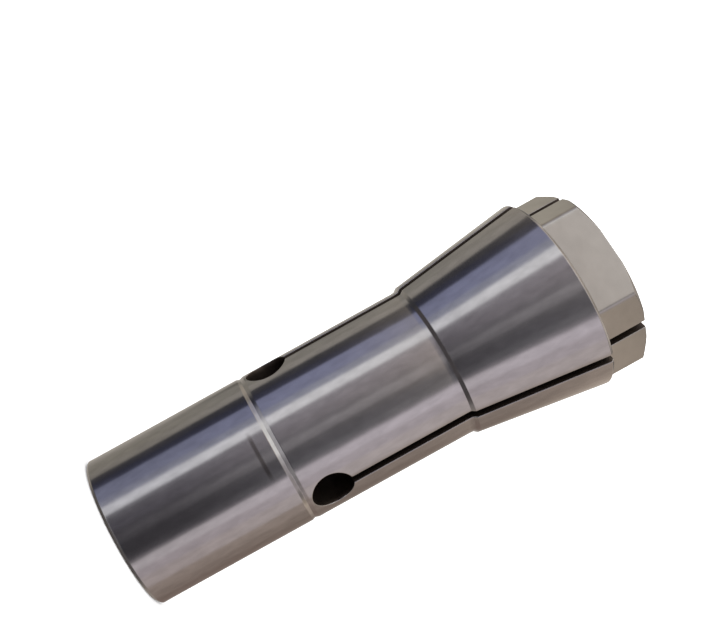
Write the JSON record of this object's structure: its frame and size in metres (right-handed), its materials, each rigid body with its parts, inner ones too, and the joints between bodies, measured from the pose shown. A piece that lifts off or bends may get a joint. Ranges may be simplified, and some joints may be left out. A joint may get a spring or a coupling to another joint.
{
  "type": "spindle collet",
  "caption": "Split steel spindle collet with a plain round shank, a clamping taper, a hexagon nose for a spanner, saw slots ending in round holes, and a rear draw-in thread.",
  "frame": {"origin": "centre of the collet's rear face, which it stands on", "axes": "+Z along the collet's axis, from the rear face to the hexagon nose; +X through one of the saw slots"},
  "size_m": [0.0192, 0.0192, 0.0507],
  "materials": {
    "collet_steel": "hardened spring steel: ground shank and taper, satin milled hexagon, finely turned face"
  },
  "bodies": {
    "root": {"collet_body": "collet_steel"}
  },
  "joints": []
}
